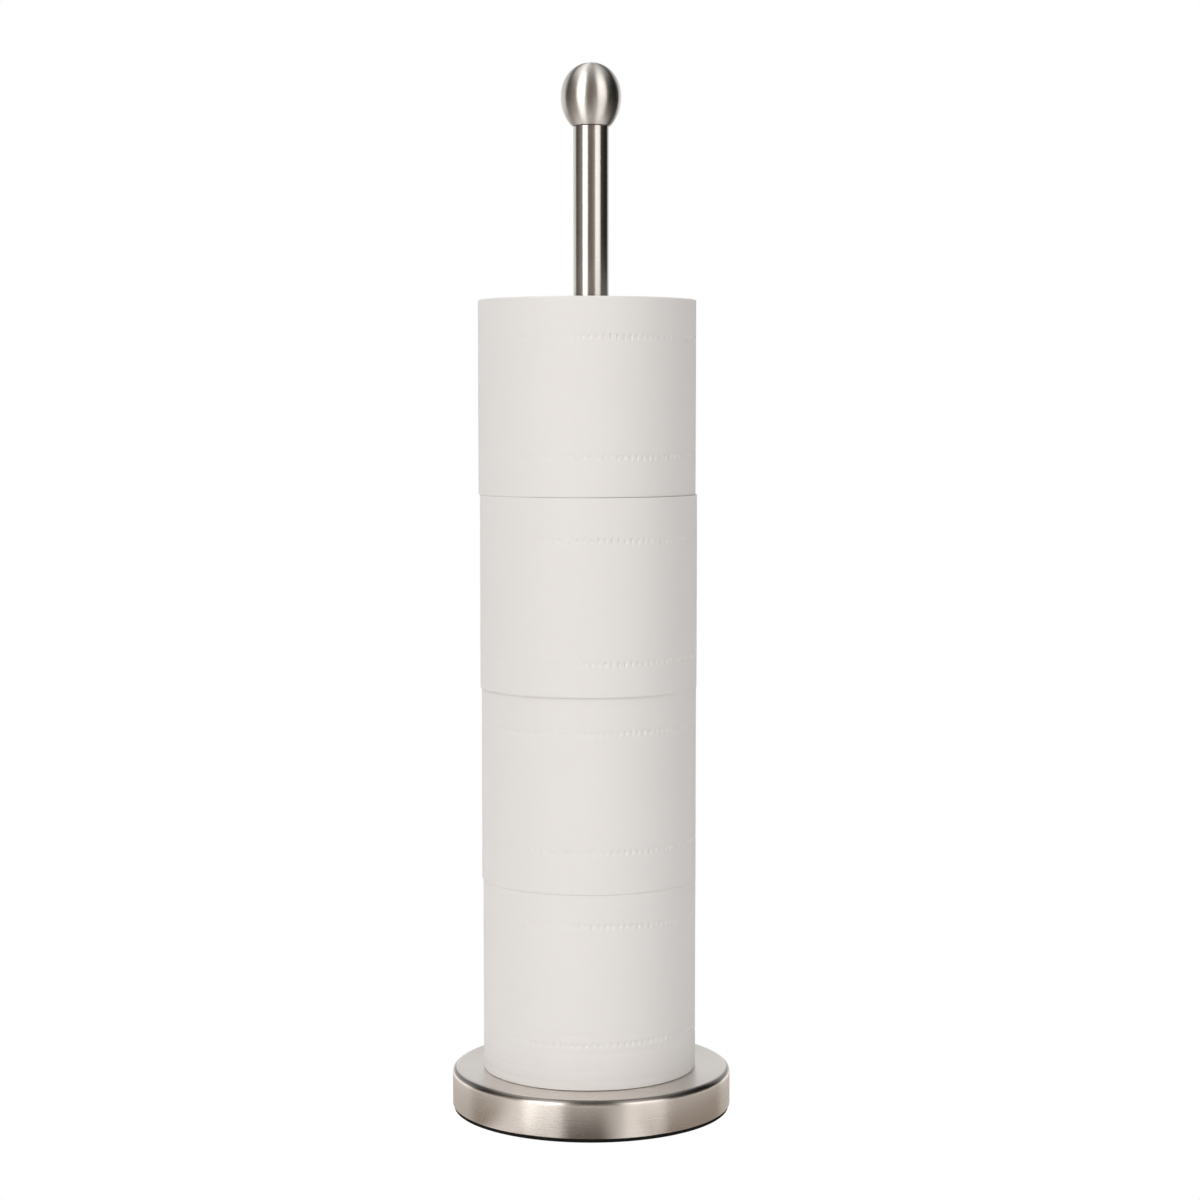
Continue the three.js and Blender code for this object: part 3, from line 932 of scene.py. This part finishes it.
# What the steel reflects. Angles are degrees anticlockwise from the front; colours are radiance.
WHITE = (1, 1, 1, 1)
ROOM_FAR_LEFT = (0.022, 0.018, 0.015, 1)
ROOM_LEFT = (0.25, 0.21, 0.18, 1)
ROOM_FRONT = (0.165, 0.137, 0.112, 1)
ROOM_RIGHT = (0.006, 0.006, 0.005, 1)
SWEEP_TOP = (0.73, 0.725, 0.72, 1)
SWEEP_EDGE = (109.0, 126.0)  # where the sweep behind starts, on the left and on the right
SWEEP_SOFTNESS = 13.0
CEILING_LEFT = (1.35, 1.34, 1.3, 1)
CEILING_FRONT = (0.33, 0.32, 0.31, 1)
CEILING_RIGHT = (0.66, 0.65, 0.64, 1)
ZENITH = (0.6, 0.6, 0.6, 1)

FLOOR_RADIUS = 4.0
FLOOR_RINGS = 8
FLOOR_COLUMNS = 64
FLOOR_LEVEL = -0.1 * MM  # below the stand, so that the pad's underside doesn't show through it
FLOOR_NEAR = (0.95, 0.945, 0.94, 1)
FLOOR_FAR = (0.72, 0.71, 0.70, 1)
POLISH_TONE = (0.08, 0.08, 0.08, 1)
# A painted glow on the floor, seen only by reflections, stands in for the softboxes and the room
# reflected in a polished table: the base's skirt sees it close to the base, and the knob and the
# pole see it further out. Close to the base it is darker in front, as painted shade. A pool is
# where it fades in and out again, and its radiance.
GLOW_LEFT = (0.30, 0.27, 0.24, 1)
GLOW_REST = (0.06, 0.052, 0.045, 1)
GLOW_BASE = (1.12, 1.07, 1.02, 1)
NEAR_FRONT = (0.055, 0.045, 0.036, 1)
NEAR_SIDES = (0.330, 0.280, 0.238, 1)
LEFT_POOL = ((-58, -44, -38, -26), (0.82, 0.78, 0.75, 1))
RIGHT_POOL = ((3, 14, 20, 31), (0.56, 0.53, 0.50, 1))
FAR_REACH = (0.28, 0.45, 1.2, 1.8)
LEFT_FAR = ((-57, -49, -31, -23), (1.6, 1.56, 1.5, 1))
RIGHT_FAR = ((25, 33, 54, 62), (1.35, 1.3, 1.25, 1))


def add_camera():
    data = bpy.data.cameras.new("camera")
    data.lens = CAMERA_LENS
    camera = add_object("camera", data)
    camera.location = (0, -CAMERA_DISTANCE, CAMERA_HEIGHT)
    camera.rotation_euler = (math.radians(90 - CAMERA_TILT), 0, math.radians(CAMERA_TURN))
    bpy.context.scene.camera = camera


def add_strip(name, azimuth, span, radiance, color):
    """A tall softbox that faces the pole."""
    light = bpy.data.lights.new(name, "AREA")
    light.shape = "RECTANGLE"
    light.size = 2 * STRIP_DISTANCE * math.tan(math.radians(span / 2))
    light.size_y = STRIP_HEIGHT
    light.energy = math.pi * light.size * light.size_y * radiance
    light.color = color
    angle = math.radians(azimuth)
    box = add_object(name, light)
    box.location = (STRIP_DISTANCE * math.sin(angle), -STRIP_DISTANCE * math.cos(angle),
                    STRIP_BOTTOM + STRIP_HEIGHT / 2)
    box.rotation_euler = (math.pi / 2, 0, angle)


def add_world():
    """White to the camera. To everything else: a white sweep behind, a dim room in front."""
    world = bpy.data.worlds.new("studio")
    bpy.context.scene.world = world
    world.use_nodes = True
    tree = Tree(world.node_tree)
    direction = tree.add("SeparateXYZ", {0: tree.add("TexCoord").outputs["Generated"]})
    x, y, z = direction.outputs
    angle = angle_from_front(tree, x, y)
    left = tree.blend(tree.remap(angle, -106, -60), ROOM_FAR_LEFT, ROOM_LEFT)
    tone = tree.blend(tree.remap(angle, -58, -48), left, ROOM_FRONT)
    tone = tree.blend(tree.remap(angle, 55, 72), tone, ROOM_RIGHT)
    sweep = tree.blend(tree.remap(z, 0.08, 0.26), WHITE, SWEEP_TOP)
    edge = tree.remap(angle, 0, 1, *SWEEP_EDGE)
    past_edge = tree.minus(tree.math("ABSOLUTE", angle), edge)
    behind = tree.remap(past_edge, 0.0, SWEEP_SOFTNESS)
    behind = tree.times(behind, tree.remap(z, 0.42, 0.66, 1.0, 0.0))
    tone = tree.blend(behind, tone, sweep)
    ceiling = tree.blend(tree.remap(angle, -70, -50), CEILING_LEFT, CEILING_FRONT)
    ceiling = tree.blend(tree.remap(angle, 35, 70), ceiling, CEILING_RIGHT)
    ceiling = tree.blend(tree.remap(z, 0.93, 0.99), ceiling, ZENITH)
    tone = tree.blend(tree.remap(z, 0.58, 0.88), tone, ceiling)
    room = tree.add("Background", {"Color": tone})
    white = tree.add("Background", {"Color": WHITE})
    seen = tree.add("LightPath").outputs["Is Camera Ray"]
    mixed = tree.add("MixShader", {0: seen, 1: room.outputs[0], 2: white.outputs[0]})
    tree.add("OutputWorld", {"Surface": mixed.outputs[0]})


def floor_material():
    """White to the camera, matt to soft light, and polished to reflections, with a painted glow
    and painted shade that only reflections see.
    """
    material = bpy.data.materials.new("floor")
    material.use_nodes = True
    tree = Tree(material.node_tree)
    paths = tree.add("LightPath").outputs
    place = tree.place()
    x, y, _ = tree.add("SeparateXYZ", {0: place}).outputs
    angle = angle_from_front(tree, x, y)
    reach = tree.add("VectorMath", {0: place}, operation="LENGTH").outputs["Value"]
    pale = tree.blend(tree.remap(reach, 0.1, 1.0), FLOOR_NEAR, FLOOR_FAR)
    matt = tree.add("BsdfDiffuse", {"Color": pale})
    # Painted glow: emitted light that only reflections see, in place of lights reflected in the
    # table.
    glow = tree.blend(tree.remap(angle, -70, -50), GLOW_LEFT, GLOW_REST)
    glow = tree.blend(tree.remap(reach, 0.25, 0.9), GLOW_BASE, glow)
    # Painted shade: close to the base the glow is darker in front.
    near = tree.blend(tree.remap(tree.math("ABSOLUTE", angle), 12, 50), NEAR_FRONT, NEAR_SIDES)
    glow = tree.blend(tree.remap(reach, 0.10, 0.22), near, glow)
    for span, radiance in (LEFT_POOL, RIGHT_POOL):
        glow = tree.blend(tree.window(angle, *span), glow, radiance)
    far = tree.window(reach, *FAR_REACH)
    for span, radiance in (LEFT_FAR, RIGHT_FAR):
        glow = tree.blend(tree.times(tree.window(angle, *span), far), glow, radiance)
    polish_and_painted_glow = tree.add("BsdfPrincipled", {
        "Base Color": POLISH_TONE, "Metallic": 1.0, "Roughness": 0.2,
        "Emission Color": glow, "Emission Strength": 1.0,
    })
    white = tree.add("Emission", {"Color": WHITE})
    unseen = tree.add("MixShader", {0: paths["Is Glossy Ray"], 1: matt.outputs[0],
                                    2: polish_and_painted_glow.outputs[0]})
    mixed = tree.add("MixShader", {0: paths["Is Camera Ray"], 1: unseen.outputs[0],
                                   2: white.outputs[0]})
    tree.add("OutputMaterial", {"Surface": mixed.outputs[0]})
    return material


def add_floor():
    """A pale table top that blends into the white background."""
    profile = np.array([[FLOOR_RADIUS * k / FLOOR_RINGS, FLOOR_LEVEL]
                        for k in range(FLOOR_RINGS, 0, -1)])
    rows = spin(profile, FLOOR_COLUMNS)
    index = np.arange(rows.shape[0] * rows.shape[1]).reshape(rows.shape[:2])
    quads = grid_quads(index[:-1], index[1:])
    mesh = bpy.data.meshes.new("floor")
    mesh.from_pydata(rows.reshape(-1, 3).tolist(), [], [*quads, index[-1].tolist()])
    mesh.materials.append(floor_material())
    add_object("floor", mesh)


# --- assembly ---

BEVEL_SEGMENTS = 2
BEVEL_ANGLE = math.radians(35)  # edges sharper than this are broken


def finish_cad_node(name, material, bevel):
    """A CAD node that is shown as it is gets its material and slightly broken edges."""
    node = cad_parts[name]
    if not node.material_slots:
        node.data.materials.append(material)
    for place in node.material_slots:
        place.material = material
    broken = node.modifiers.new("broken_edges", "BEVEL")
    broken.width = bevel
    broken.segments = BEVEL_SEGMENTS
    broken.angle_limit = BEVEL_ANGLE


def build_stand():
    cover_steel, pole_steel, knob_steel = (
        brushed_steel(name, **look) for name, look in STEELS.items()
    )
    zinc = zinc_plate()
    build_cover(cover_steel)
    build_pad(foam_rubber())
    build_washer(zinc)
    build_bolt(zinc)
    build_tube("lower_tube", "pole_lower_tube", pole_steel)
    build_tube("upper_tube", "pole_upper_tube", pole_steel)
    build_joint_stud(zinc)
    build_knob(knob_steel)
    build_knob_stud(zinc)
    finish_cad_node("ballast_disc", cast_iron(), 0.5 * MM)
    finish_cad_node("base_tray", moulded_plastic(), 0.3 * MM)
    for name in ("base_lock_washer", "pole_foot_plug", "pole_joint_socket", "pole_top_plug",
                 "knob_boss"):
        finish_cad_node(name, zinc, 0.25 * MM)


add_camera()
add_world()
add_floor()
for name, strip in STRIPS.items():
    add_strip(name, *strip)
build_stand()
for roll in range(1, ROLL_COUNT + 1):
    build_roll(roll)

bpy.context.scene.view_settings.view_transform = "Standard"
